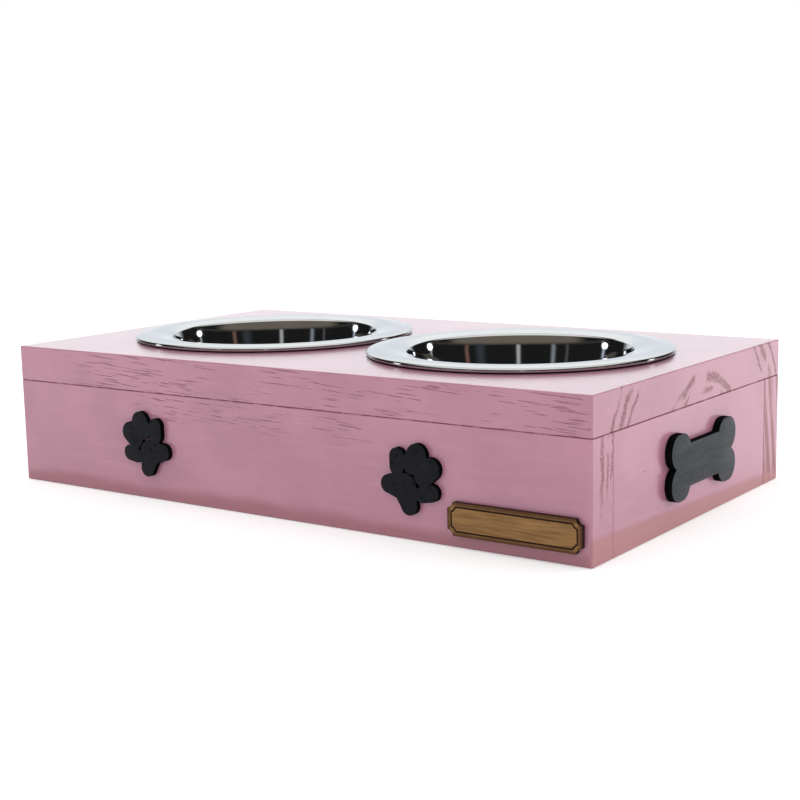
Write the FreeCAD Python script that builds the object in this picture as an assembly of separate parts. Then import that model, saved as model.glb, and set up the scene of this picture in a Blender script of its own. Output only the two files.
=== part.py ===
import FreeCAD, Part
import math
import os

# Feeding stand for two bowls. A painted pine lid lies on a frame of four boards, two pressed
# steel bowls lift out of the lid, and flat cut-out ornaments are glued to the front and one end.
# Sizes are in millimetres and degrees. X runs along the stand, Y from front to back and Z up.
# The origin is on the floor, below the middle of the lid.

# Bowls
rim_diameter = 167.0
rolled_edge_height = 2.6
sheet_thickness = 0.7
flange_width = 21.5
crown_inset = 9.5
crown_rise = 0.9
mouth_drop = 1.7
lip_depth = 4.4
lip_taper = 1.6
bowl_depth = 46.0
wall_taper = 8.0
crown_bend = 45.0
mouth_bend = 1.2
lip_bend = 30.0
floor_bend = 7.0
seat_gap = 0.3

# Lid and frame
rim_gap = 6.0
end_margin = 20.0
side_margin = 26.5
board_thickness = 20.0
frame_height = 60.0
hole_clearance = 3.0
edge_ease = 0.6

# Blind dowels that hold the boards together
dowel_diameter = 8.0
dowel_length = 30.0
dowel_cover = 8.0
dowel_chamfer = 0.8
dowel_end_gap = 0.5
glue_gap = 0.1
corner_dowel_spacing = 28.0
top_dowel_inset = 60.0
end_dowel_spacing = 80.0

# Paw, upright in its own plane before it is tilted
paw_thickness = 3.0
paw_level = 31.2
paw_tilt = 39.5
left_paw_margin = 85.2
paw_plaque_gap = 4.2
pad_crown_radius = 7.3
pad_lobe_radius = 4.8
pad_lobe_spread = 15.4
pad_lobe_drop = 5.2
outer_toe_radius = 4.4
outer_toe_stretch = 5.3
outer_toe_bearing = 64.0
outer_toe_lean = 37.0
inner_toe_radius = 5.8
inner_toe_stretch = 5.0
inner_toe_bearing = 67.0
inner_toe_lean = 7.0
toe_taper = 0.3
toe_merge = 0.6

# Bone
bone_thickness = 4.0
bone_level = 31.5
bone_length = 77.0
bone_height = 34.0
bone_knob_diameter = 17.6
bone_knob_stretch = 4.0
bone_shaft_height = 22.0
bone_offset = 2.5

# Blank wooden tag
plaque_length = 73.0
plaque_height = 16.5
plaque_thickness = 3.0
plaque_scoop = 3.0
plaque_end_margin = 4.0
plaque_floor_margin = 6.4
border_inset = 1.8
border_width = 0.9
border_depth = 0.5

# A bend takes at most this share of the shorter stretch beside it.
bend_share = 0.49

# Sizes that follow from the ones above
rim_radius = rim_diameter / 2
mouth_radius = rim_radius - flange_width
lip_radius = mouth_radius - lip_taper
hole_radius = mouth_radius + sheet_thickness / 2 + hole_clearance
bowl_x = (rim_diameter + rim_gap) / 2
length = 2 * rim_diameter + rim_gap + 2 * end_margin
depth = rim_diameter + 2 * side_margin
height = frame_height + board_thickness
half_length = length / 2
half_depth = depth / 2

ORIGIN = FreeCAD.Vector(0, 0, 0)
X_AXIS = FreeCAD.Vector(1, 0, 0)
Z_AXIS = FreeCAD.Vector(0, 0, 1)
SIDES = (-1, 1)


def heading(angle):
    """Flat unit vector at an angle clockwise from the Y axis."""
    turn = math.radians(angle)
    return FreeCAD.Vector(math.sin(turn), math.cos(turn), 0)


# Bent sheet, drawn by the middle line of its section in the XZ plane

def bend(before, corner, after, radius):
    """Start, middle and end of the arc that rounds a corner, and the arc's centre."""
    back = (before - corner).normalize()
    ahead = (after - corner).normalize()
    half_angle = back.getAngle(ahead) / 2
    shorter = min(before.distanceToPoint(corner), after.distanceToPoint(corner))
    reach = min(radius / math.tan(half_angle), bend_share * shorter)
    fitted = reach * math.tan(half_angle)
    inward = (back + ahead).normalize()
    centre = corner + inward * (fitted / math.sin(half_angle))
    return corner + back * reach, centre - inward * fitted, corner + ahead * reach, centre


def left_normal(start, end):
    """Unit vector to the left of a stretch that runs in the XZ plane."""
    along = (end - start).normalize()
    return FreeCAD.Vector(-along.z, 0, along.x)


def sheet_side(points, radii, offset):
    """Edges of one face of the sheet, at an offset to the left of its middle line."""
    edges = []
    here = points[0] + left_normal(points[0], points[1]) * offset
    for before, corner, after, radius in zip(points, points[1:], points[2:], radii):
        start, middle, end, centre = bend(before, corner, after, radius)
        leftward = left_normal(before, corner).dot(centre - start) > 0
        grow = -offset if leftward else offset
        scale = 1 + grow / start.distanceToPoint(centre)
        start, middle, end = [centre + (point - centre) * scale for point in (start, middle, end)]
        edges.append(Part.LineSegment(here, start).toShape())
        edges.append(Part.Arc(start, middle, end).toShape())
        here = end
    last = points[-1] + left_normal(points[-2], points[-1]) * offset
    edges.append(Part.LineSegment(here, last).toShape())
    return edges


def turned_sheet(points, radii, thickness):
    """Sheet of even thickness turned about the Z axis."""
    left = sheet_side(points, radii, thickness / 2)
    right = sheet_side(points, radii, -thickness / 2)
    edges = left + right
    for end in (0, -1):
        tips = [side[end].Vertexes[end].Point for side in (left, right)]
        edges.append(Part.LineSegment(*tips).toShape())
    section = Part.Face(Part.Wire(Part.__sortEdges__(edges)))
    return section.revolve(ORIGIN, Z_AXIS, 360)


def bowl():
    """Pressed bowl about the Z axis, with the lid's upper face at level 0."""
    half_sheet = sheet_thickness / 2
    curl_out = rim_radius - half_sheet
    curl_in = rim_radius - rolled_edge_height + half_sheet
    curl_low = seat_gap + half_sheet
    curl_high = seat_gap + rolled_edge_height - half_sheet
    crown_level = curl_high + crown_rise
    floor_level = crown_level - bowl_depth
    curl_bend = (curl_high - curl_low) / 2
    path = (
        (curl_in, curl_low + curl_bend),
        (curl_in, curl_low),
        (curl_out, curl_low),
        (curl_out, curl_high),
        (rim_radius - crown_inset, crown_level),
        (mouth_radius, crown_level - mouth_drop),
        (lip_radius, crown_level - mouth_drop - lip_depth),
        (lip_radius - wall_taper, floor_level),
        (0, floor_level),
    )
    points = [FreeCAD.Vector(radius, 0, level) for radius, level in path]
    radii = (curl_bend, curl_bend, curl_bend, crown_bend, mouth_bend, lip_bend, floor_bend)
    return turned_sheet(points, radii, sheet_thickness)


# Boards and dowels

def board(x_size, y_size, z_size, x_mid, y_mid, z_low):
    """Sawn board with all its edges eased."""
    corner = FreeCAD.Vector(x_mid - x_size / 2, y_mid - y_size / 2, z_low)
    block = Part.makeBox(x_size, y_size, z_size, corner)
    return block.makeFillet(edge_ease, block.Edges)


def long_board(side):
    """Front or back board, which runs the whole length."""
    middle = side * (half_depth - board_thickness / 2)
    return board(length, board_thickness, frame_height, 0, middle, 0)


def end_board(side):
    """End board, held between the front and back boards."""
    middle = side * (half_length - board_thickness / 2)
    return board(board_thickness, depth - 2 * board_thickness, frame_height, middle, 0, 0)


def top_board():
    """Lid with one round hole for each bowl."""
    lid = board(length, depth, board_thickness, 0, 0, frame_height)
    for side in SIDES:
        middle = FreeCAD.Vector(side * bowl_x, 0, frame_height)
        lid = lid.cut(Part.makeCylinder(hole_radius, board_thickness, middle))
    mouths = [edge for edge in lid.Edges if edge.Closed and not edge.Degenerated]
    return lid.makeFillet(edge_ease, mouths)


def corner_dowel_places():
    """Outer end and direction of each dowel between a long board and an end board."""
    places = []
    for x_side in SIDES:
        for y_side in SIDES:
            for step in SIDES:
                x = x_side * (half_length - board_thickness / 2)
                y = y_side * (half_depth - dowel_cover)
                z = frame_height / 2 + step * corner_dowel_spacing / 2
                places.append((FreeCAD.Vector(x, y, z), FreeCAD.Vector(0, -y_side, 0)))
    return places


def top_dowel_places():
    """Upper end and direction of each dowel between the lid and the frame."""
    long_line = half_depth - board_thickness / 2
    end_line = half_length - board_thickness / 2
    spots = [(x, y * long_line) for y in SIDES for x in (top_dowel_inset - half_length, 0,
                                                        half_length - top_dowel_inset)]
    spots += [(x * end_line, y * end_dowel_spacing / 2) for x in SIDES for y in SIDES]
    level = height - dowel_cover
    return [(FreeCAD.Vector(x, y, level), FreeCAD.Vector(0, 0, -1)) for x, y in spots]


def dowel(place):
    """Round dowel with chamfered ends."""
    start, way = place
    peg = Part.makeCylinder(dowel_diameter / 2, dowel_length, start, way)
    rings = [edge for edge in peg.Edges if edge.Closed]
    return peg.makeChamfer(dowel_chamfer, rings)


def dowel_room(place):
    """Drilled space for a dowel, with room for glue."""
    start, way = place
    mouth = start - way * dowel_end_gap
    span = dowel_length + 2 * dowel_end_gap
    return Part.makeCylinder(dowel_diameter / 2 + glue_gap, span, mouth, way)


# Ornaments, drawn flat in the XY plane and facing +Z

def tapered_slot(first, first_radius, second, second_radius, thickness):
    """Flat plate round two circles and their outer tangents."""
    along = second - first
    tilt = math.asin((first_radius - second_radius) / along.Length)
    along.normalize()
    across = FreeCAD.Vector(-along.y, along.x, 0)
    left = across * math.cos(tilt) + along * math.sin(tilt)
    right = across * -math.cos(tilt) + along * math.sin(tilt)
    ends = (
        Part.LineSegment(first + left * first_radius, second + left * second_radius),
        Part.Arc(second + left * second_radius, second + along * second_radius,
                 second + right * second_radius),
        Part.LineSegment(second + right * second_radius, first + right * first_radius),
        Part.Arc(first + right * first_radius, first - along * first_radius,
                 first + left * first_radius),
    )
    outline = Part.Wire([curve.toShape() for curve in ends])
    return Part.Face(outline).extrude(Z_AXIS * thickness)


def half_paw(side):
    """Pad lobe and two toes on one side of the paw, with the pad's crown at the origin."""
    def plate(first, first_radius, second, second_radius):
        ends = [FreeCAD.Vector(side * point.x, point.y, 0) for point in (first, second)]
        return tapered_slot(ends[0], first_radius, ends[1], second_radius, paw_thickness)

    outer_base_radius = outer_toe_radius - toe_taper
    inner_base_radius = inner_toe_radius - toe_taper
    lobe = FreeCAD.Vector(pad_lobe_spread / 2, -pad_lobe_drop, 0)
    outer_base = heading(outer_toe_bearing) * (pad_crown_radius + outer_base_radius - toe_merge)
    outer_tip = outer_base + heading(outer_toe_lean) * outer_toe_stretch
    step = outer_toe_radius + inner_base_radius - toe_merge
    inner_base = outer_tip + heading(-inner_toe_bearing) * step
    inner_tip = inner_base + heading(inner_toe_lean) * inner_toe_stretch
    return [
        plate(ORIGIN, pad_crown_radius, lobe, pad_lobe_radius),
        plate(outer_base, outer_base_radius, outer_tip, outer_toe_radius),
        plate(inner_base, inner_base_radius, inner_tip, inner_toe_radius),
    ]


def paw(tilt):
    """Paw in one piece, turned clockwise by its tilt, with its outline centred on the origin."""
    pieces = half_paw(-1) + half_paw(1)
    shape = pieces[0].multiFuse(pieces[1:]).removeSplitter()
    shape.rotate(ORIGIN, Z_AXIS, -tilt)
    middle = shape.BoundBox.Center
    shape.translate(FreeCAD.Vector(-middle.x, -middle.y, 0))
    return shape


def bone():
    """Bone in one piece, centred on the origin, with its length along X."""
    knob_radius = bone_knob_diameter / 2
    knob_out = bone_length / 2 - knob_radius
    knob_in = knob_out - bone_knob_stretch
    knob_y = bone_height / 2 - knob_radius
    corner = FreeCAD.Vector(-knob_in, -bone_shaft_height / 2, 0)
    shaft = Part.makeBox(2 * knob_in, bone_shaft_height, bone_thickness, corner)
    knobs = []
    for x in SIDES:
        for y in SIDES:
            inner = FreeCAD.Vector(x * knob_in, y * knob_y, 0)
            outer = FreeCAD.Vector(x * knob_out, y * knob_y, 0)
            knobs.append(tapered_slot(inner, knob_radius, outer, knob_radius, bone_thickness))
    return shaft.multiFuse(knobs).removeSplitter()


def plaque_layer(inset, level, thickness):
    """Tag outline with scooped corners, drawn in by an inset, as a plate from a level upwards."""
    x_reach = plaque_length / 2
    y_reach = plaque_height / 2
    corner = FreeCAD.Vector(inset - x_reach, inset - y_reach, level)
    plate = Part.makeBox(2 * (x_reach - inset), 2 * (y_reach - inset), thickness, corner)
    scoops = [Part.makeCylinder(plaque_scoop + inset, thickness,
                                FreeCAD.Vector(x * x_reach, y * y_reach, level))
              for x in SIDES for y in SIDES]
    return plate.cut(scoops)


def plaque():
    """Blank tag with an engraved border line, centred on the origin."""
    engraved = plaque_thickness - border_depth
    border = plaque_layer(border_inset, engraved, border_depth)
    inner = plaque_layer(border_inset + border_width, engraved, border_depth)
    return plaque_layer(0, 0, plaque_thickness).cut(border.cut(inner))


def on_front(shape, x, level):
    """Ornament stood upright on the front board, facing forwards."""
    shape.rotate(ORIGIN, X_AXIS, 90)
    shape.translate(FreeCAD.Vector(x, -half_depth, level))
    return shape


def on_right_end(shape, y, level):
    """Ornament stood upright on the right end, facing outwards."""
    shape.rotate(ORIGIN, X_AXIS, 90)
    shape.rotate(ORIGIN, Z_AXIS, 90)
    shape.translate(FreeCAD.Vector(half_length, y, level))
    return shape


# Assembly

def seated_bowl(side):
    """Bowl resting in its hole in the lid."""
    shape = bowl()
    shape.translate(FreeCAD.Vector(side * bowl_x, 0, height))
    return shape


def assembly():
    """Every piece by its name."""
    corner_places = corner_dowel_places()
    top_places = top_dowel_places()
    rooms = [dowel_room(place) for place in corner_places + top_places]
    boards = {
        "top_board": top_board(),
        "front_board": long_board(-1),
        "back_board": long_board(1),
        "left_end_board": end_board(-1),
        "right_end_board": end_board(1),
    }
    pieces = {name: shape.cut(rooms) for name, shape in boards.items()}
    pieces["corner_dowels"] = Part.makeCompound([dowel(place) for place in corner_places])
    pieces["top_dowels"] = Part.makeCompound([dowel(place) for place in top_places])
    pieces["left_bowl"] = seated_bowl(-1)
    pieces["right_bowl"] = seated_bowl(1)
    plaque_x = half_length - plaque_end_margin - plaque_length / 2
    plaque_level = plaque_floor_margin + plaque_height / 2
    right_paw = paw(paw_tilt)
    paw_reach = right_paw.BoundBox.XLength / 2
    left_paw_x = left_paw_margin + paw_reach - half_length
    right_paw_x = plaque_x - plaque_length / 2 - paw_plaque_gap - paw_reach
    pieces["left_paw"] = on_front(paw(-paw_tilt), left_paw_x, paw_level)
    pieces["right_paw"] = on_front(right_paw, right_paw_x, paw_level)
    pieces["end_bone"] = on_right_end(bone(), bone_offset, bone_level)
    pieces["name_plaque"] = on_front(plaque(), plaque_x, plaque_level)
    return pieces


os.makedirs("parts", exist_ok=True)
for name, shape in assembly().items():
    shape.exportStep(os.path.join("parts", name + ".step"))
    print(name, len(shape.Solids), "solid(s)", round(shape.Volume / 1000, 2), "cm3")
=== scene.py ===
# %% [markdown]
# # A painted feeding stand with two steel bowls
# A low pine box, painted pink, carries two polished bowls in its lid. Black cut-out paws and a bone
# are glued to it, with a small blank tag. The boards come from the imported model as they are. The
# bowls and the ornaments are modelled again here, with the soft edges that the real ones have.

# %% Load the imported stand
import math
import bpy
from mathutils import Matrix, Vector


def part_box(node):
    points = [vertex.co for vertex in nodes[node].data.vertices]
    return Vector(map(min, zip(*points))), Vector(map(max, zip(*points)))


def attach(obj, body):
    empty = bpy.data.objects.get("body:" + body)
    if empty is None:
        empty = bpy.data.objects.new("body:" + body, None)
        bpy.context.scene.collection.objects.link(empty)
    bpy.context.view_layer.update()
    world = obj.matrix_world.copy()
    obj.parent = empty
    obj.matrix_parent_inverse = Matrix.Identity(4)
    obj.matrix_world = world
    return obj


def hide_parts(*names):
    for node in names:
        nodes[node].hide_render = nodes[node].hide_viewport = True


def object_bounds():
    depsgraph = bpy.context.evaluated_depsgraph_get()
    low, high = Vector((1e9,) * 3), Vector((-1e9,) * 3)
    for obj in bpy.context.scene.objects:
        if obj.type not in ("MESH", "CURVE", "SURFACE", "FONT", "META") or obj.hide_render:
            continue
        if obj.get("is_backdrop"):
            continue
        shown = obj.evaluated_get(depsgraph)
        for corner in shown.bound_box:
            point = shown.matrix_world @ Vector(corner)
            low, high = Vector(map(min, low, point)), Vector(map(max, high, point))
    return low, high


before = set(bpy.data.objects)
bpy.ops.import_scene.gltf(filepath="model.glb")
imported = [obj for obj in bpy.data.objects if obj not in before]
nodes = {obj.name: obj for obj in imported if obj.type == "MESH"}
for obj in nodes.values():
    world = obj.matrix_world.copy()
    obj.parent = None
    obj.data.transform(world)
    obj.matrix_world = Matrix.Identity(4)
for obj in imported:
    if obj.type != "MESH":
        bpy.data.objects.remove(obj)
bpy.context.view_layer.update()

MM = 0.001
print("pieces:", sorted(nodes))

# %% [markdown]
# ## Picking points by their place
# By hand, points are picked with the mouse before an operator acts on them. Here a test on the place
# or the direction of each point or face does the same. Everything is deselected first, because an
# operator acts on all that is selected.

# %% Helpers for edit mode
def start_editing(thing):
    bpy.ops.object.select_all(action="DESELECT")
    thing.select_set(True)
    bpy.context.view_layer.objects.active = thing
    bpy.ops.object.mode_set(mode="EDIT")
    bpy.ops.mesh.select_all(action="DESELECT")


def select_where(thing, kind, test):
    """Selects the vertices or polygons whose middle passes a test, in edit mode."""
    bpy.ops.mesh.select_mode(type="VERT" if kind == "vertices" else "FACE")
    bpy.ops.mesh.select_all(action="DESELECT")
    bpy.ops.object.mode_set(mode="OBJECT")
    for item in getattr(thing.data, kind):
        middle = item.co if kind == "vertices" else item.center
        item.select = bool(test(middle, item))
    bpy.ops.object.mode_set(mode="EDIT")


def near(point, reach=0.02 * MM):
    return lambda middle, item: (middle - Vector(point)).length < reach


def named(name):
    made = bpy.context.object
    made.name = name
    made.data.name = name
    return made


# %% [markdown]
# ## Bowls
# Each bowl is pressed from one round of sheet steel, so one line turned about an axis gives its whole
# shape. A Screw modifier or the Spin operator can turn such a line. Spin is used here, because in edit
# mode the line can start as a small circle, the rolled edge, and grow from it by extruding.

# %% Sizes of a bowl
bowl_low, bowl_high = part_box("left_bowl")
lid_low, lid_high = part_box("top_board")
rim_radius = (bowl_high.x - bowl_low.x) / 2
sheet = 0.7 * MM
curl_outside = 1.3 * MM
curl_radius = curl_outside - sheet / 2
rest_gap = 0.3 * MM
curl_level = lid_high.z + rest_gap + curl_outside
bend_loss = 0.24 * MM  # the crown's bend takes this much off its height
crown_level = bowl_high.z - sheet / 2 + bend_loss
floor_level = bowl_low.z + sheet / 2
print("rim radius", round(rim_radius / MM, 2), "crown", round(crown_level / MM, 2))

# %% Corners of the profile
# Each corner is a radius and a level, from the flange's crown down to the middle of the floor.
crown = (rim_radius - 9.5 * MM, crown_level)
mouth = (rim_radius - 21.5 * MM, crown_level - 1.7 * MM)
lip_end = (rim_radius - 23.1 * MM, crown_level - 6.1 * MM)
floor_edge = (rim_radius - 31.1 * MM, floor_level)
floor_middle = (0, floor_level)
# Each bend has a corner, a reach from it along the line and a number of segments.
bends = ((crown, 4.0 * MM, 10), (mouth, 0.8 * MM, 8), (lip_end, 2.2 * MM, 10),
         (floor_edge, 5.7 * MM, 16))
lean = math.degrees(math.atan2(lip_end[0] - floor_edge[0], lip_end[1] - floor_edge[1]))
print("the wall leans by", round(lean, 1), "degrees")

# %% Rolled edge
bpy.ops.object.select_all(action="DESELECT")
curl_x = rim_radius - curl_radius - sheet / 2
bpy.ops.mesh.primitive_circle_add(vertices=32, radius=curl_radius, location=(curl_x, 0, curl_level),
                                  rotation=(math.radians(90), 0, 0))
bowl = named("bowl_pattern")
bpy.ops.object.transform_apply(location=True, rotation=True, scale=True)
start_editing(bowl)


def in_open_quarter(middle, item, margin=0.1 * MM):
    """The quarter of the circle that the flange takes the place of."""
    return middle.x < curl_x - margin and middle.z > curl_level + margin


select_where(bowl, "vertices", in_open_quarter)
bpy.ops.mesh.delete(type="VERT")
bpy.ops.object.mode_set(mode="OBJECT")
print("points of the rolled edge", len(bowl.data.vertices))

# %% Flange, wall and floor, drawn on from the rolled edge
start_editing(bowl)
here = Vector((curl_x, 0, curl_level + curl_radius))
select_where(bowl, "vertices", near(here))
for x, z in (crown, mouth, lip_end, floor_edge, floor_middle):
    there = Vector((x, 0, z))
    bpy.ops.mesh.extrude_region_move(TRANSFORM_OT_translate={"value": there - here})
    here = there
for (x, z), reach, count in bends:
    select_where(bowl, "vertices", near((x, 0, z)))
    bpy.ops.mesh.bevel(offset=reach, segments=count, affect="VERTICES")
bpy.ops.object.mode_set(mode="OBJECT")
print("points of the profile", len(bowl.data.vertices))

# %% Turn the profile and give it the sheet's thickness
start_editing(bowl)
bpy.ops.mesh.select_all(action="SELECT")
bpy.ops.mesh.spin(steps=256, angle=2 * math.pi, center=(0, 0, 0), axis=(0, 0, 1))
bpy.ops.mesh.select_all(action="SELECT")
bpy.ops.mesh.remove_doubles(threshold=0.005 * MM)
bpy.ops.mesh.normals_make_consistent(inside=False)
bpy.ops.object.mode_set(mode="OBJECT")
wall = bowl.modifiers.new("Sheet", "SOLIDIFY")
wall.thickness = sheet
wall.offset = 0
wall.use_even_offset = True
bpy.ops.object.modifier_apply(modifier=wall.name)
bpy.ops.object.shade_smooth()
print("bowl faces", len(bowl.data.polygons))

# %% One bowl in each hole
def copy_of(pattern, name):
    made = pattern.copy()
    made.data = pattern.data.copy()
    made.name = name
    made.data.name = name
    bpy.context.scene.collection.objects.link(made)
    return made


bowls = {}
for body in ("left_bowl", "right_bowl"):
    low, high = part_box(body)
    made = copy_of(bowl, body + "_polished")
    made.data.transform(Matrix.Translation(((low.x + high.x) / 2, (low.y + high.y) / 2, 0)))
    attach(made, body)
    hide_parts(body)
    bowls[body] = made
bpy.data.objects.remove(bowl)
print("bowls:", [piece.name for piece in bowls.values()])

# %% [markdown]
# ## Paws
# A paw is cut from a thin sheet in one piece: a pad of two lobes and four toes that touch each other.
# It could be drawn as one outline and extruded. Round lobes are used instead, because each is a short
# cylinder with one half pulled out, so every toe keeps a true round end. Boolean modifiers join them,
# and the front edge is then rounded a little, as paint rounds it.

# %% A rounded lobe
def lobe(first, first_radius, second, second_radius, thickness):
    """Flat plate round two circles: a short cylinder whose far half is moved and resized."""
    first, second = Vector((*first, 0)), Vector((*second, 0))
    along = second - first
    bpy.ops.object.select_all(action="DESELECT")
    bpy.ops.mesh.primitive_cylinder_add(vertices=96, radius=first_radius, depth=thickness,
                                        location=first + Vector((0, 0, thickness / 2)))
    bpy.ops.object.transform_apply(location=True, rotation=True, scale=True)
    made = bpy.context.object

    def in_far_half(middle, item, margin=1e-7):
        return (middle - first).dot(along) > margin * along.length

    start_editing(made)
    select_where(made, "vertices", in_far_half)
    bpy.ops.transform.translate(value=along)
    share = second_radius / first_radius
    bpy.ops.transform.resize(value=(share, share, 1), center_override=second)
    bpy.ops.object.mode_set(mode="OBJECT")
    return made


# %% Joining, cutting and softening flat plates
WELD = 0.002 * MM
FLAT = math.radians(0.2)
SMOOTH = math.radians(35)


def combine(whole, piece, operation):
    """Joins a solid to another one, or takes it away, and then removes it."""
    bpy.ops.object.select_all(action="DESELECT")
    bpy.context.view_layer.objects.active = whole
    step = whole.modifiers.new("Combine", "BOOLEAN")
    step.operation = operation
    step.solver = "EXACT"
    step.object = piece
    bpy.ops.object.modifier_apply(modifier=step.name)
    bpy.data.objects.remove(piece)
    return whole


def join(pieces):
    for piece in pieces[1:]:
        combine(pieces[0], piece, "UNION")
    return pieces[0]


def soften(plate, width):
    """Rounds the front edges of a flat plate that lies in the XY plane."""
    start_editing(plate)
    bpy.ops.mesh.select_all(action="SELECT")
    bpy.ops.mesh.remove_doubles(threshold=WELD)
    bpy.ops.mesh.dissolve_limited(angle_limit=FLAT)
    bpy.ops.mesh.normals_make_consistent(inside=False)
    select_where(plate, "polygons", lambda middle, item: item.normal.z > 0.9)
    bpy.ops.mesh.region_to_loop()
    bpy.ops.mesh.bevel(offset=width, segments=4, affect="EDGES", clamp_overlap=True)
    bpy.ops.mesh.select_all(action="SELECT")
    bpy.ops.mesh.fill_holes(sides=0)
    bpy.ops.object.mode_set(mode="OBJECT")
    bpy.ops.object.shade_smooth_by_angle(angle=SMOOTH)


# %% Where the paw's toes sit
def way(angle):
    """Direction in the paw's plane, at an angle in degrees from straight up."""
    return Vector((math.sin(math.radians(angle)), math.cos(math.radians(angle))))


paw_thickness = 3.0 * MM
paw_edge = 0.35 * MM
pad_crown, pad_foot = 7.3 * MM, 4.8 * MM
pad_foot_at = (7.7 * MM, -5.2 * MM)
outer_base, outer_toe = 4.1 * MM, 4.4 * MM
inner_base, inner_toe = 5.5 * MM, 5.8 * MM
outer_length, inner_length = 5.3, 5.0  # in millimetres
outer_seat, outer_lean, inner_seat, inner_lean = 64, 37, -67, 7
merge = 0.6 * MM
outer_start = way(outer_seat) * (pad_crown + outer_base - merge)
outer_tip = outer_start + way(outer_lean) * outer_length * MM
inner_start = outer_tip + way(inner_seat) * (outer_toe + inner_base - merge)
inner_tip = inner_start + way(inner_lean) * inner_length * MM
print("outer toe ends at", [round(part / MM, 1) for part in outer_tip], "mm from the pad's middle")

# %% Cut the paw
bars = []
for side in (-1, 1):
    pad_end, outer_from, outer_to, inner_from, inner_to = [
        (side * point[0], point[1])
        for point in (pad_foot_at, outer_start, outer_tip, inner_start, inner_tip)]
    bars.append(lobe((0, 0), pad_crown, pad_end, pad_foot, paw_thickness))
    bars.append(lobe(outer_from, outer_base, outer_to, outer_toe, paw_thickness))
    bars.append(lobe(inner_from, inner_base, inner_to, inner_toe, paw_thickness))
paw = join(bars)
paw.name = "paw_pattern"
soften(paw, paw_edge)
print("paw faces", len(paw.data.polygons))

# %% One paw on each side of the front
def stand_up(made, node, tilt, facing):
    """Tilts a flat plate, stands it upright and brings its box onto the CAD node's box."""
    made.data.transform(Matrix.Rotation(math.radians(-tilt), 4, "Z"))
    made.data.transform(Matrix.Rotation(math.radians(90), 4, "X"))
    made.data.transform(Matrix.Rotation(math.radians(facing), 4, "Z"))
    low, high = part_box(node)
    corners = [vertex.co for vertex in made.data.vertices]
    lowest = Vector([min(corner[axis] for corner in corners) for axis in range(3)])
    highest = Vector([max(corner[axis] for corner in corners) for axis in range(3)])
    made.data.transform(Matrix.Translation((low + high - lowest - highest) / 2))
    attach(made, "stand")
    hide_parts(node)
    return made


paw_tilt = 39.5
ornaments = {}
for node, tilt in (("left_paw", -paw_tilt), ("right_paw", paw_tilt)):
    ornaments[node] = stand_up(copy_of(paw, node + "_painted"), node, tilt, 0)
bpy.data.objects.remove(paw)

# %% [markdown]
# ## Bone
# The bone is a thicker cut-out on the right end: a straight shaft with two knobs at each end. It is
# made from the same lobes, with a box for the shaft, so it gets the same round ends and soft edge.

# %% Cut the bone
bone_low, bone_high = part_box("end_bone")
bone_thickness, bone_length, bone_height = bone_high - bone_low
bone_edge = 0.4 * MM
shaft_height = 22.0 * MM
knob, knob_stretch = 8.8 * MM, 4.0 * MM
knob_out = bone_length / 2 - knob
knob_in = knob_out - knob_stretch
knob_up = bone_height / 2 - knob
bpy.ops.object.select_all(action="DESELECT")
bpy.ops.mesh.primitive_cube_add(size=1, location=(0, 0, bone_thickness / 2),
                                scale=(2 * knob_in, shaft_height, bone_thickness))
bpy.ops.object.transform_apply(location=True, rotation=True, scale=True)
pieces = [bpy.context.object]
for x in (-1, 1):
    for y in (-1, 1):
        pieces.append(lobe((x * knob_in, y * knob_up), knob, (x * knob_out, y * knob_up), knob,
                           bone_thickness))
bone = join(pieces)
soften(bone, bone_edge)
bone.name = bone.data.name = "end_bone_painted"
ornaments["end_bone"] = stand_up(bone, "end_bone", 0, 90)
print("bone faces", len(bone.data.polygons))

# %% [markdown]
# ## Tag
# The tag is a thin laser-cut plate with scooped corners and one engraved line. It stays blank. Its
# outline could be drawn point by point. Cutting round scoops from a plain plate is simpler, and one
# helper can then make such a plate at any distance inside the outline. The largest plate is the tag,
# and the ring between two smaller plates is the cutter for the line.

# %% A plate with scooped corners
tag_low, tag_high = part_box("name_plaque")
tag_size = Vector((tag_high.x - tag_low.x, tag_high.z - tag_low.z, tag_high.y - tag_low.y))
scoop_radius = 3.0 * MM


def scooped_plate(inset, bottom, top):
    """Plate set in from the tag's outline, its scoops drawn round the tag's corners."""
    bpy.ops.object.select_all(action="DESELECT")
    bpy.ops.mesh.primitive_cube_add(size=1, location=(0, 0, (bottom + top) / 2),
                                    scale=(tag_size.x - 2 * inset, tag_size.y - 2 * inset, top - bottom))
    bpy.ops.object.transform_apply(location=True, rotation=True, scale=True)
    plate = bpy.context.object
    for x in (-1, 1):
        for y in (-1, 1):
            bpy.ops.object.select_all(action="DESELECT")
            corner = (x * tag_size.x / 2, y * tag_size.y / 2, 0)
            bpy.ops.mesh.primitive_cylinder_add(vertices=96, radius=scoop_radius + inset,
                                                depth=8 * tag_size.z, location=corner)
            combine(plate, bpy.context.object, "DIFFERENCE")
    return plate


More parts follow.
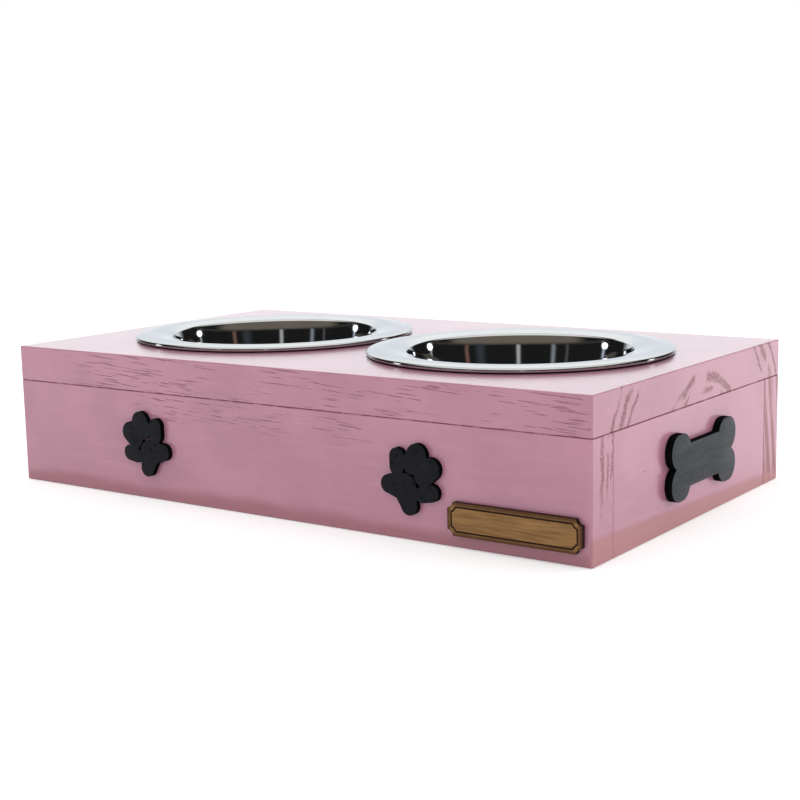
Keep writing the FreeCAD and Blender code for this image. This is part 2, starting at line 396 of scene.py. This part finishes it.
# %% Cut the tag and engrave its line
line_inset, line_width, line_depth = 1.8 * MM, 0.9 * MM, 0.5 * MM
tag_edge = 0.12 * MM
tag = scooped_plate(0, 0, tag_size.z)
tag.name = tag.data.name = "name_plaque_blank"
line = scooped_plate(line_inset, tag_size.z - line_depth, 2 * tag_size.z)
combine(line, scooped_plate(line_inset + line_width, 0, 3 * tag_size.z), "DIFFERENCE")
combine(tag, line, "DIFFERENCE")
round_over = tag.modifiers.new("Edge", "BEVEL")
round_over.width = tag_edge
round_over.segments = 2
round_over.limit_method = "ANGLE"
bpy.ops.object.modifier_apply(modifier=round_over.name)
start_editing(tag)
bpy.ops.mesh.select_all(action="SELECT")
bpy.ops.mesh.remove_doubles(threshold=WELD)
bpy.ops.object.mode_set(mode="OBJECT")
bpy.ops.object.shade_smooth_by_angle(angle=SMOOTH)
stand_up(tag, "name_plaque", 0, 0)
print("tag in mm:", [round(size / MM, 1) for size in tag_size], "faces", len(tag.data.polygons))

# %% [markdown]
# ## Materials
# Every finish is a node tree on the Principled shader that reads Object coordinates, so the pattern
# stays with the piece. Wiring each node by hand is long-winded, so a few short helpers add a node,
# feed its sockets and hand back its output.

# %% Helpers that add a node
def new_material(name):
    made = bpy.data.materials.new(name)
    made.use_nodes = True
    return made, made.node_tree, made.node_tree.nodes["Principled BSDF"]


def feed(tree, value, socket):
    if isinstance(value, bpy.types.NodeSocket):
        tree.links.new(value, socket)
    else:
        socket.default_value = value


def put(tree, kind, settings=None, **inputs):
    """Adds a node. Inputs are named sockets, given a value or another node's output."""
    made = tree.nodes.new(kind)
    for key, value in (settings or {}).items():
        setattr(made, key, value)
    for key, value in inputs.items():
        feed(tree, value, made.inputs[key.replace("_", " ")])
    return made


def sums(tree, operation, first, second=0.0, third=0.0):
    made = tree.nodes.new("ShaderNodeMath")
    made.operation = operation
    for index, value in enumerate((first, second, third)):
        feed(tree, value, made.inputs[index])
    return made.outputs[0]


def dress(thing, material):
    thing.data.materials.clear()
    thing.data.materials.append(material)


# %% Helpers for masks, colours and relief
def fade(tree, value, low, high):
    """0 below low and 1 above high, with a soft step between. It runs down where low is higher."""
    made = put(tree, "ShaderNodeMapRange", {"interpolation_type": "SMOOTHSTEP"}, Value=value,
               From_Min=low, From_Max=high)
    return made.outputs[0]


def spread(tree, value, low, high):
    """Spreads a value of 0 to 1 evenly from low to high."""
    return put(tree, "ShaderNodeMapRange", Value=value, To_Min=low, To_Max=high).outputs[0]


def tint(tree, factor, first, second):
    made = put(tree, "ShaderNodeMix", {"data_type": "RGBA"})
    for index, value in ((0, factor), (6, first), (7, second)):
        feed(tree, value, made.inputs[index])
    return made.outputs[2]


def noise(tree, place, scale, stretch=(1, 1, 1), shift=(0, 0, 0), detail=4.0, rough=0.55):
    """Noise whose grain size is set per axis, in patterns per metre."""
    turned = put(tree, "ShaderNodeMapping", Vector=place, Location=shift,
                 Scale=[scale * part for part in stretch])
    made = put(tree, "ShaderNodeTexNoise", Vector=turned.outputs[0], Scale=1.0, Detail=detail,
               Roughness=rough)
    return made.outputs["Fac"]


def distance(tree, place, centre, axes):
    """Distance from a centre, measured along the chosen axes only."""
    moved = put(tree, "ShaderNodeMapping", Vector=place, Location=[-part for part in centre], Scale=axes)
    made = put(tree, "ShaderNodeVectorMath", {"operation": "LENGTH"})
    feed(tree, moved.outputs[0], made.inputs[0])
    return made.outputs["Value"]


def bump(tree, height, depth, strength=1.0):
    return put(tree, "ShaderNodeBump", Strength=strength, Distance=depth, Height=height).outputs[0]


# %% [markdown]
# ## Polished steel
# The bowls are mirror-polished, so their colour is mostly what they reflect. A perfectly even mirror
# looks false, so fine lines from the polishing wheel and faint smears from use break it up. Anisotropic
# gloss could draw the lines, but it needs a tangent on every face. Stretched noise needs only the
# Object coordinates.

# %% Polished steel
STEEL_DULL = (0.53, 0.540, 0.550, 1)
STEEL_BRIGHT = (0.61, 0.615, 0.625, 1)


def polished_steel():
    made, tree, shader = new_material("polished_steel")
    place = put(tree, "ShaderNodeTexCoord").outputs["Object"]
    smear = noise(tree, place, 40, detail=5)
    lines = noise(tree, place, 900, (0.1, 0.1, 1), detail=2)
    shader.inputs["Metallic"].default_value = 1.0
    shader.inputs["Specular Tint"].default_value = (0.83, 0.85, 0.87, 1)
    feed(tree, tint(tree, smear, STEEL_DULL, STEEL_BRIGHT), shader.inputs["Base Color"])
    feed(tree, spread(tree, smear, 0.04, 0.08), shader.inputs["Roughness"])
    feed(tree, bump(tree, lines, 0.004 * MM, 0.3), shader.inputs["Normal"])
    return made


steel = polished_steel()
for piece in bowls.values():
    dress(piece, steel)
print("steel on", len(bowls), "bowls")

# %% [markdown]
# ## Black ornaments
# The paws and the bone are cut from fibreboard and painted black with a brush. The paws are matt. The
# bone has a thicker, satin coat that shows brush marks. The cut edges drank the paint and stay dull,
# so they get a paint of their own, chosen by the way each face points.

# %% Black paint on fibreboard
CRACK = (0.002, 0.002, 0.003, 1)
COOL_SHINE = (0.80, 0.90, 1.0, 1)


def black_paint(name, dark, pale, shine, stroke, rough_low):
    made, tree, shader = new_material(name)
    place = put(tree, "ShaderNodeTexCoord").outputs["Object"]
    brush = noise(tree, place, 420, stroke, detail=5)
    cloud = noise(tree, place, 90, detail=3)
    cracks = fade(tree, noise(tree, place, 330, shift=(5, 2, 8), detail=4), 0.56, 0.66)
    colour = tint(tree, cracks, tint(tree, cloud, dark, pale), CRACK)
    feed(tree, colour, shader.inputs["Base Color"])
    feed(tree, spread(tree, brush, rough_low, rough_low + 0.26), shader.inputs["Roughness"])
    shader.inputs["Specular IOR Level"].default_value = shine
    shader.inputs["Specular Tint"].default_value = COOL_SHINE
    height = sums(tree, "MULTIPLY_ADD", cracks, -0.8, brush)
    feed(tree, bump(tree, height, 0.12 * MM, 0.8), shader.inputs["Normal"])
    return made


paw_black = black_paint("paw_black", dark=(0.006, 0.006, 0.009, 1), pale=(0.011, 0.011, 0.015, 1),
                        shine=0.16, stroke=(1, 1, 0.35), rough_low=0.34)
bone_black = black_paint("bone_black", dark=(0.009, 0.012, 0.016, 1), pale=(0.019, 0.025, 0.031, 1),
                         shine=0.5, stroke=(1, 0.12, 1), rough_low=0.30)
edge_black = black_paint("cut_edge_black", dark=(0.002, 0.002, 0.002, 1), pale=(0.005, 0.005, 0.005, 1),
                         shine=0.03, stroke=(1, 1, 1), rough_low=0.6)
print("black paints:", [paint.name for paint in (paw_black, bone_black, edge_black)])

# %% Paint the fronts and the cut edges
def dress_edges(thing, material, facing):
    """Gives the faces that turn away from the front of a plate a second material."""
    thing.data.materials.append(material)
    for face in thing.data.polygons:
        face.material_index = int(face.normal.dot(Vector(facing)) < 0.8)


for name, piece in ornaments.items():
    at_end = name == "end_bone"
    dress(piece, bone_black if at_end else paw_black)
    dress_edges(piece, edge_black, (1, 0, 0) if at_end else (0, -1, 0))
print("black on", sorted(ornaments))

# %% [markdown]
# ## Scorched ply
# A laser cut the tag from thin ply. Its heat browned the cut edges, the engraved line and the border
# close to them, and left the middle of the face tan with a fine grain. The border could be painted on
# a UV map. Here it comes from the distance to the outline, so it needs no unwrapping.

# %% Scorched ply
PLY_DARK = (0.205, 0.105, 0.036, 1)
PLY_PALE = (0.33, 0.180, 0.066, 1)
BROWNED = (0.105, 0.045, 0.016, 1)
BURNT = (0.030, 0.012, 0.005, 1)


def inside_outline(tree, split):
    """Distance from a point of the tag to the nearest side of its outline."""
    middle, half = (tag_low + tag_high) / 2, (tag_high - tag_low) / 2
    inside = []
    for axis, index in (("X", 0), ("Z", 2)):
        aside = sums(tree, "ABSOLUTE", sums(tree, "SUBTRACT", split.outputs[axis], middle[index]))
        inside.append(sums(tree, "SUBTRACT", half[index], aside))
    return sums(tree, "MINIMUM", *inside)


def scorched_ply():
    made, tree, shader = new_material("scorched_ply")
    place = put(tree, "ShaderNodeTexCoord").outputs["Object"]
    split = put(tree, "ShaderNodeSeparateXYZ", Vector=place)
    grain = noise(tree, place, 900, (0.06, 1, 1), detail=6)
    cloud = noise(tree, place, 160, detail=3)
    face = tint(tree, fade(tree, grain, 0.3, 0.7), PLY_DARK, PLY_PALE)
    border = sums(tree, "MULTIPLY_ADD", cloud, 1.5 * MM, inside_outline(tree, split))
    face = tint(tree, fade(tree, border, 3.6 * MM, 1.2 * MM), face, BROWNED)
    burnt = fade(tree, split.outputs["Y"], tag_low.y + 0.05 * MM, tag_low.y + 0.40 * MM)
    feed(tree, tint(tree, burnt, face, BURNT), shader.inputs["Base Color"])
    feed(tree, spread(tree, grain, 0.50, 0.75), shader.inputs["Roughness"])
    shader.inputs["Specular IOR Level"].default_value = 0.2
    feed(tree, bump(tree, grain, 0.05 * MM, 0.5), shader.inputs["Normal"])
    return made


dress(tag, scorched_ply())
print("tag dressed in", tag.data.materials[0].name)

# %% [markdown]
# ## Pink paint on pine
# The boards are planed pine under one coat of glossy pink paint. The paint is thin, so brush marks,
# torn fibres and the year rings of the sawn ends show through as darker, sunken marks. One material
# for all boards would run the grain the wrong way on some. So each board gets its own tree, built
# step by step: a base coat, then marks that colour and sink a masked area.

# %% Base coat
PINK_DEEP = (0.47, 0.200, 0.280, 1)
PINK = (0.54, 0.235, 0.325, 1)
PINK_STROKE = (0.560, 0.252, 0.340, 1)


def start_coat(name, along, shift):
    """Starts one board's paint: clouds, brush marks and fibres that run along the grain."""
    made, tree, shader = new_material(name)
    place = put(tree, "ShaderNodeTexCoord").outputs["Object"]
    split = put(tree, "ShaderNodeSeparateXYZ", Vector=place)
    fine = [0.06 if axis == along else 1.0 for axis in range(3)]
    broad = [0.12 if axis == along else 1.0 for axis in range(3)]
    cloud = noise(tree, place, 18, shift=shift, detail=3)
    brush = noise(tree, place, 200, broad, shift, detail=4)
    fibre = noise(tree, place, 1000, fine, shift, detail=5)
    colour = tint(tree, fade(tree, cloud, 0.35, 0.65), PINK_DEEP, PINK)
    colour = tint(tree, fade(tree, brush, 0.45, 0.85), colour, PINK_STROKE)
    height = sums(tree, "MULTIPLY_ADD", fibre, 0.05, sums(tree, "MULTIPLY", brush, 0.06))
    return {"material": made, "tree": tree, "shader": shader, "place": place, "colour": colour,
            "height": height, "rough": spread(tree, brush, 0.30, 0.50), "along": along,
            "x": split.outputs["X"], "y": split.outputs["Y"], "z": split.outputs["Z"]}


def finish_coat(coat):
    tree, shader = coat["tree"], coat["shader"]
    feed(tree, coat["colour"], shader.inputs["Base Color"])
    feed(tree, coat["rough"], shader.inputs["Roughness"])
    relief = bump(tree, coat["height"], MM)
    feed(tree, relief, shader.inputs["Normal"])
    feed(tree, relief, shader.inputs["Coat Normal"])
    shader.inputs["Coat Weight"].default_value = 1.0
    shader.inputs["Coat Roughness"].default_value = 0.13
    return coat["material"]


# %% Marks on the coat
def mark(coat, mask, colour, depth):
    """Colours a masked area and sinks it by a depth in millimetres."""
    tree = coat["tree"]
    coat["colour"] = tint(tree, mask, coat["colour"], colour)
    coat["height"] = sums(tree, "SUBTRACT", coat["height"], sums(tree, "MULTIPLY", mask, depth))
    coat["rough"] = sums(tree, "MULTIPLY_ADD", mask, 0.3, coat["rough"])


def both(coat, *masks):
    whole = masks[0]
    for other in masks[1:]:
        whole = sums(coat["tree"], "MULTIPLY", whole, other)
    return whole


def within(coat, value, low, high, soft):
    """1 between two levels of a coordinate, with soft ends."""
    tree = coat["tree"]
    return both(coat, fade(tree, value, low - soft, low), fade(tree, value, high + soft, high))


def sawn_ends(coat):
    """Masks for the two sawn ends of a long board and for its other faces."""
    tree = coat["tree"]
    off_middle = sums(tree, "ABSOLUTE", coat["x"])
    ends = fade(tree, off_middle, lid_high.x - 1.4 * MM, lid_high.x - 0.6 * MM)
    return ends, sums(tree, "SUBTRACT", 1.0, ends)


# %% [markdown]
# ## Grain that shows through the paint
# Where the plane tore the wood, short dark strokes lie along the grain. On the sawn ends the year
# rings show as pitted lines. Both could be cut into the mesh, but they are finer than a millimetre,
# so noise that is stretched along the grain, and distance from the ring's centre, draw them.

# %% Torn grain and the joint under the lid
TORN = (0.325, 0.110, 0.145, 1)
SEAM = (0.25, 0.074, 0.098, 1)
SEAM_NEAR, SEAM_FAR = 0.1 * MM, 0.5 * MM


def torn_grain(coat, shift, amount, spread_out, where):
    """Short dark strokes, a little askew to the edge, in groups where the plane tore the grain."""
    tree = coat["tree"]
    askew = put(tree, "ShaderNodeMapping", Vector=coat["place"], Rotation=(0, math.radians(-3), 0))
    fine = [0.035 if axis == coat["along"] else 1.0 for axis in range(3)]
    broad = [0.4 if axis == coat["along"] else 1.0 for axis in range(3)]
    strokes = noise(tree, askew.outputs[0], 1650, fine, shift, detail=2, rough=0.5)
    groups = noise(tree, coat["place"], 40, broad, shift, detail=2)
    mask = both(coat, fade(tree, strokes, 0.64 - amount, 0.70 - amount),
                fade(tree, groups, 0.47 - spread_out, 0.57 - spread_out), where)
    mark(coat, mask, TORN, 0.16)


def seam(coat, side):
    """The dark joint between lid (side 1) and frame (side -1), broken where paint has filled it."""
    tree = coat["tree"]
    close = fade(tree, coat["z"], lid_low.z + side * SEAM_FAR, lid_low.z + side * SEAM_NEAR)
    unfilled = fade(tree, noise(tree, coat["place"], 130, detail=3), 0.36, 0.50)
    mark(coat, both(coat, close, unfilled), SEAM, 0.0)


# %% Sawn ends
# Painted shade on the end faces: a browner band along the floor that slants across each face.
LOW_SHADE = (0.45, 0.175, 0.180, 1)
BAND_SLOPE, BAND_TOP, BAND_SOFT = -0.035, 9.5 * MM, 2 * MM


def end_grain(coat, centre, years, shift, colour, where):
    """Year rings on a sawn end: dark pitted lines at stated radii round a centre in the section."""
    tree = coat["tree"]
    reach = distance(tree, coat["place"], (0, *centre), (0, 1, 1))
    wander = sums(tree, "SUBTRACT", noise(tree, coat["place"], 60, shift=shift, detail=3), 0.5)
    ring = sums(tree, "MULTIPLY_ADD", wander, 9 * MM, reach)
    pits = fade(tree, noise(tree, coat["place"], 900, shift=shift, detail=2), 0.46, 0.58)
    faint = fade(tree, noise(tree, coat["place"], 70, shift=shift, detail=1), 0.40, 0.54)
    for radius, half in years:
        off = sums(tree, "ABSOLUTE", sums(tree, "SUBTRACT", ring, radius))
        mark(coat, both(coat, fade(tree, off, 1.3 * half, 0.3 * half), faint, where, 0.4), colour, 0.0)
        mark(coat, both(coat, fade(tree, off, half, 0.4 * half), pits, faint, where), colour, 0.25)


def upright_grain(coat, shift, colour, where):
    """Brownish stripes that stand almost upright on a sawn end."""
    tree = coat["tree"]
    leaning = put(tree, "ShaderNodeMapping", Vector=coat["place"],
                  Rotation=(math.radians(-8.5), 0, 0))
    stripes = noise(tree, leaning.outputs[0], 130, (0, 1, 0.06), shift, detail=4)
    mark(coat, both(coat, fade(tree, stripes, 0.40, 0.58), where), colour, 0.1)


def low_shade_band(coat, where):
    """A browner band of painted shade along the floor, on the end faces."""
    tree = coat["tree"]
    slant = sums(tree, "MULTIPLY_ADD", coat["y"], BAND_SLOPE, BAND_TOP)
    low = fade(tree, sums(tree, "SUBTRACT", coat["z"], slant), BAND_SOFT, -BAND_SOFT)
    mark(coat, both(coat, low, where, 0.8), LOW_SHADE, 0.0)


# %% [markdown]
# ## Lid
# The lid's front is torn almost all along, and its sawn ends show strong year rings. Under each
# bowl's rolled edge lies a thin dark line of painted shade, which is painted on because the gap is
# too narrow for light to draw it.

# %% Paint of the lid
RING = (0.27, 0.085, 0.100, 1)
RIM_SHADE = (0.06, 0.02, 0.025, 1)
lid = start_coat("lid_paint", 0, (0, 0, 0))
tree = lid["tree"]
lid_ends, lid_sides = sawn_ends(lid)
below_top = fade(tree, lid["z"], lid_high.z - 0.4 * MM, lid_high.z - 1.0 * MM)
front_half = fade(tree, lid["y"], 0.05, 0.0)
past_left = fade(tree, lid["x"], -0.17, -0.11)
torn_grain(lid, (0, 0, 0), 0.026, 0.14, both(lid, lid_sides, below_top, front_half, past_left))
# Each ring has a radius and half a width, in metres.
lid_years = ((0.046, 0.0018), (0.052, 0.0030), (0.0905, 0.0012), (0.098, 0.0028), (0.107, 0.0018))
lid_heart = (0.007, 0.020)
end_grain(lid, lid_heart, lid_years, (3, 1, 4), RING, lid_ends)
for body in bowls:
    low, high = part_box(body)
    reach = distance(tree, lid["place"], ((low.x + high.x) / 2, (low.y + high.y) / 2, 0), (1, 1, 0))
    # Painted shade: a thin dark ring on the lid under each rolled edge.
    rim_shade_ring = within(lid, reach, rim_radius - 3.0 * MM, rim_radius - 0.2 * MM, 0.5 * MM)
    mark(lid, rim_shade_ring, RIM_SHADE, 0.0)
seam(lid, 1)
dress(nodes["top_board"], finish_coat(lid))
print("lid painted, with a dark line under", len(bowls), "rims")

# %% [markdown]
# ## Front and back boards
# These two boards run the full length, so their sawn ends show on the stand's ends: faint rings on the
# front board and upright brownish stripes on the back board. One function paints both, and what
# differs is handed to it.

# %% Paint of the front and back boards
FAINT_RING = (0.36, 0.140, 0.170, 1)
STRIPE = (0.29, 0.066, 0.070, 1)
FOOT_SHADE = (0.37, 0.135, 0.170, 1)
front_heart = (0.25, 0.035)


def frame_paint(name, node, shift, years, amount, where_torn):
    coat = start_coat(name, 0, shift)
    tree = coat["tree"]
    ends, sides = sawn_ends(coat)
    torn_grain(coat, shift, amount, 0.05, both(coat, sides, where_torn(coat)))
    if years:
        upper = fade(tree, coat["z"], 12 * MM, 42 * MM)
        end_grain(coat, front_heart, years, shift, FAINT_RING, both(coat, ends, upper))
    else:
        upright_grain(coat, shift, STRIPE, ends)
    # Painted shade: the faces turn darker and redder along the floor, with a wavy upper edge.
    wave = noise(tree, coat["place"], 14, shift=shift, detail=2)
    foot = sums(tree, "SUBTRACT", coat["z"], sums(tree, "MULTIPLY_ADD", wave, 12 * MM, 1 * MM))
    mark(coat, both(coat, fade(tree, foot, 4 * MM, -3 * MM), sides, 0.85), FOOT_SHADE, 0.0)
    low_shade_band(coat, ends)
    seam(coat, -1)
    dress(nodes[node], finish_coat(coat))


def under_the_lid(coat):
    """The plane tore the front board mostly near its upper edge, left of its middle."""
    upper = fade(coat["tree"], coat["z"], 40 * MM, 52 * MM)
    return both(coat, upper, within(coat, coat["x"], -0.085, 0.055, 0.02))


def anywhere(coat):
    return fade(coat["tree"], coat["z"], -10 * MM, 0.0)


front_years = ((0.3415, 0.0012), (0.3455, 0.0012), (0.3510, 0.0022))
frame_paint("front_paint", "front_board", (3, 7, 1), front_years, 0.010, under_the_lid)
frame_paint("back_paint", "back_board", (9, 2, 5), (), -0.06, anywhere)
print("painted:", [nodes[node].data.materials[0].name for node in ("front_board", "back_board")])

# %% [markdown]
# ## End boards
# The two short boards sit between the long ones, so their grain runs across the stand and no sawn end
# shows. They are almost clean, with a browner band of painted shade along the floor.

# %% Paint of the end boards
for node, shift in (("left_end_board", (4, 1, 8)), ("right_end_board", (6, 5, 2))):
    coat = start_coat(node + "_paint", 1, shift)
    torn_grain(coat, shift, -0.09, 0.0, anywhere(coat))
    low_shade_band(coat, 1.0)
    seam(coat, -1)
    dress(nodes[node], finish_coat(coat))
    print("painted:", node)

# %% [markdown]
# ## Dowels
# The dowels are bare beech, pale and fine grained. They are hidden in their holes while the stand is
# whole, and a viewer that takes it apart sees them. A fleck of noise is all the grain they need.

# %% Bare beech for the dowels
BEECH_DARK = (0.45, 0.30, 0.16, 1)
BEECH_PALE = (0.66, 0.48, 0.30, 1)


def bare_beech():
    made, tree, shader = new_material("bare_beech")
    place = put(tree, "ShaderNodeTexCoord").outputs["Object"]
    grain = noise(tree, place, 1200, (0.1, 0.1, 0.1), detail=6)
    feed(tree, tint(tree, grain, BEECH_DARK, BEECH_PALE), shader.inputs["Base Color"])
    feed(tree, spread(tree, grain, 0.55, 0.75), shader.inputs["Roughness"])
    feed(tree, bump(tree, grain, 0.05 * MM, 0.5), shader.inputs["Normal"])
    return made


beech = bare_beech()
for node in ("corner_dowels", "top_dowels"):
    dress(nodes[node], beech)
print("beech on the dowels")

# %% [markdown]
# ## Camera
# The camera stands where the photograph was taken from: to the right of the front, a little above
# the lid, and with a slight roll. The image is square, so the lens follows from the width alone.

# %% Camera
turn = math.radians(35.567)
tilt = math.radians(90 - 9.484)
roll = math.radians(-1.204)
stands_at = (0.50594, -0.69941, 0.19051)
image_width, focal_pixels = 800, 1509.95
lens = bpy.data.cameras.new("Camera")
lens.sensor_width = 36
lens.lens = lens.sensor_width * focal_pixels / image_width
camera = bpy.data.objects.new("Camera", lens)
bpy.context.scene.collection.objects.link(camera)
aim = Matrix.Rotation(turn, 4, "Z") @ Matrix.Rotation(tilt, 4, "X") @ Matrix.Rotation(roll, 4, "Z")
camera.matrix_world = Matrix.Translation(stands_at) @ aim
bpy.context.scene.camera = camera
print("lens", round(lens.lens, 2), "mm")

# %% [markdown]
# ## Floor
# The stand is on a plain white floor that is wide enough to run out of the picture. A little light of
# its own makes it white to the camera, a trace of it shows in mirrors, and it still takes the stand's
# shadow.

# %% Floor
floor_width, floor_drop = 30, 0.2 * MM
camera_glow, mirror_glow = 0.32, 0.05
bpy.ops.object.select_all(action="DESELECT")
bpy.ops.mesh.primitive_plane_add(size=floor_width, location=(0, 0, -floor_drop))
floor = named("floor")
floor_white, tree, shader = new_material("floor_white")
shader.inputs["Base Color"].default_value = (0.9, 0.9, 0.9, 1)
shader.inputs["Roughness"].default_value = 0.9
shader.inputs["Specular IOR Level"].default_value = 0.0
shader.inputs["Emission Color"].default_value = (1, 1, 1, 1)
rays = put(tree, "ShaderNodeLightPath").outputs
mirrored = sums(tree, "MAXIMUM", rays["Is Glossy Ray"], rays["Is Transmission Ray"])
glow = sums(tree, "MULTIPLY_ADD", rays["Is Camera Ray"], camera_glow,
            sums(tree, "MULTIPLY", mirrored, mirror_glow))
feed(tree, glow, shader.inputs["Emission Strength"])
dress(floor, floor_white)
floor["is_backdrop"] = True
print("floor", round(floor.dimensions.x), "m wide")

# %% [markdown]
# ## Surroundings
# Polished steel shows the whole room. So the world has a white backdrop behind the stand and a dark
# room in front, with a dim warm ceiling, grey above it and white light overhead. Upright strips stand
# for door and window frames, and two small round lamps shine at the sides. A picture of a real room
# would do the same, but every shape in it would be fixed. Dull surfaces see an even, soft white
# instead, which lights them like a light tent.

# %% Directions in the room
world = bpy.data.worlds.new("Studio")
bpy.context.scene.world = world
world.use_nodes = True
tree = world.node_tree
tree.nodes.clear()
look = put(tree, "ShaderNodeTexCoord").outputs["Generated"]
level = put(tree, "ShaderNodeSeparateXYZ", Vector=look).outputs["Z"]


def towards(direction):
    made = put(tree, "ShaderNodeVectorMath", {"operation": "DOT_PRODUCT"})
    feed(tree, look, made.inputs[0])
    made.inputs[1].default_value = direction
    return made.outputs["Value"]


to_front = towards((math.sin(turn), -math.cos(turn), 0))
to_right = towards((math.cos(turn), math.sin(turn), 0))
around = sums(tree, "ARCTAN2", to_right, to_front)
across = sums(tree, "MULTIPLY", to_right, to_right)
flat = sums(tree, "SQRT", sums(tree, "MULTIPLY_ADD", to_front, to_front, across))
straight_ahead = sums(tree, "DIVIDE", to_front, sums(tree, "MAXIMUM", flat, 0.001))
print("the room's front is turned by", round(math.degrees(turn), 1), "degrees")

# %% Dark room, warm ceiling, grey and white above
DARK_ROOM = (0.014, 0.014, 0.014, 1)
WARM_CEILING = (0.20, 0.173, 0.138, 1)
GREY_ROOM = (0.42, 0.41, 0.40, 1)
OVERHEAD = (1.15, 1.14, 1.11, 1)
low_around = sums(tree, "MULTIPLY", fade(tree, level, 0.40, 0.32), fade(tree, to_front, -0.55, -0.2))
ahead_or_low = sums(tree, "MAXIMUM", low_around, fade(tree, to_front, 0.05, 0.40))
ceiling = sums(tree, "MULTIPLY", fade(tree, level, 0.30, 0.42), ahead_or_low)
room = tint(tree, ceiling, DARK_ROOM, WARM_CEILING)
room = tint(tree, fade(tree, level, 0.60, 0.70), room, GREY_ROOM)
room = tint(tree, fade(tree, level, 0.66, 0.84), room, OVERHEAD)
print("the room is made of", len(tree.nodes), "nodes so far")

# %% Strips and round lamps
# Each strip has an angle to the right of the front and half a width, in degrees, and a colour.
strips = ((106, 2.5, (0.55, 0.58, 0.55, 1)), (56, 4, (0.24, 0.13, 0.10, 1)),
          (40, 9, (0.05, 0.06, 0.07, 1)), (-3, 3.5, (0.62, 0.63, 0.62, 1)),
          (-42, 4, (0.30, 0.34, 0.38, 1)), (-58, 3, (0.10, 0.10, 0.11, 1)),
          (-106, 3.5, (0.6, 0.66, 0.80, 1)))
below_ceiling = fade(tree, level, 0.38, 0.28)
for angle, half, colour in strips:
    off = sums(tree, "ABSOLUTE", sums(tree, "SUBTRACT", around, math.radians(angle)))
    strip = sums(tree, "MULTIPLY", fade(tree, off, math.radians(half), 0), below_ceiling)
    room = tint(tree, strip, room, colour)
spot_angle, spot_level, spot_light = 108, 0.25, (5, 5, 5, 1)
for angle in (spot_angle, -spot_angle):
    ahead = turn + math.radians(angle)
    spot_at = Vector((math.sin(ahead), -math.cos(ahead), spot_level)).normalized()
    room = tint(tree, fade(tree, towards(spot_at), 0.9965, 0.9985), room, spot_light)
print("strips of light in the room:", len(strips), "and two round lamps")

# %% Backdrop, and what each kind of ray sees
BACKDROP_LOW = (1.06, 1.09, 1.13, 1)
BACKDROP_HIGH = (1.40, 1.40, 1.36, 1)
WHITE = (1, 1, 1, 1)
backdrop = sums(tree, "MULTIPLY", fade(tree, straight_ahead, -0.76, -0.93), fade(tree, level, 0.62, 0.50))
backdrop_light = tint(tree, fade(tree, level, 0.16, 0.33), BACKDROP_LOW, BACKDROP_HIGH)
room = tint(tree, backdrop, room, backdrop_light)
studio = put(tree, "ShaderNodeBackground", Color=room, Strength=1.0)
soft = put(tree, "ShaderNodeBackground", Color=WHITE, Strength=0.92)
plain = put(tree, "ShaderNodeBackground", Color=WHITE, Strength=1.0)
rays = put(tree, "ShaderNodeLightPath").outputs
dull_or_mirror = put(tree, "ShaderNodeMixShader", Fac=rays["Is Glossy Ray"])
feed(tree, soft.outputs[0], dull_or_mirror.inputs[1])
feed(tree, studio.outputs[0], dull_or_mirror.inputs[2])
or_camera = put(tree, "ShaderNodeMixShader", Fac=rays["Is Camera Ray"])
feed(tree, dull_or_mirror.outputs[0], or_camera.inputs[1])
feed(tree, plain.outputs[0], or_camera.inputs[2])
put(tree, "ShaderNodeOutputWorld", Surface=or_camera.outputs[0])
print("the world has", len(tree.nodes), "nodes")

# %% [markdown]
# ## Lamps
# Two soft boxes at the back and left give the lid its sheen and the stand its faint shadows. They are
# hidden from mirror rays, because the surroundings already hold the shapes that the steel shows.

# %% Lamps
def soft_box(name, place, aim_at, width, power):
    data = bpy.data.lights.new(name, "AREA")
    data.shape = "SQUARE"
    data.size = width
    data.energy = power
    made = bpy.data.objects.new(name, data)
    bpy.context.scene.collection.objects.link(made)
    made.location = place
    made.rotation_mode = "QUATERNION"
    made.rotation_quaternion = (Vector(aim_at) - Vector(place)).to_track_quat("-Z", "Y")
    made.visible_glossy = False
    print("lamp", name, power, "W")


soft_box("right_back", (1.05, 1.20, 0.42), (0.1, 0, 0.05), 0.55, 7.5)
soft_box("left_back", (-1.55, -0.18, 0.55), (-0.1, 0, 0.05), 0.45, 5)

# %% [markdown]
# ## View and size
# The colours are shown as they are written, without a film curve. The box of the finished model is
# printed.

# %% View and size
bpy.context.scene.view_settings.view_transform = "Standard"
low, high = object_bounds()
print("visual box", [round(v, 4) for v in (*low, *high)])
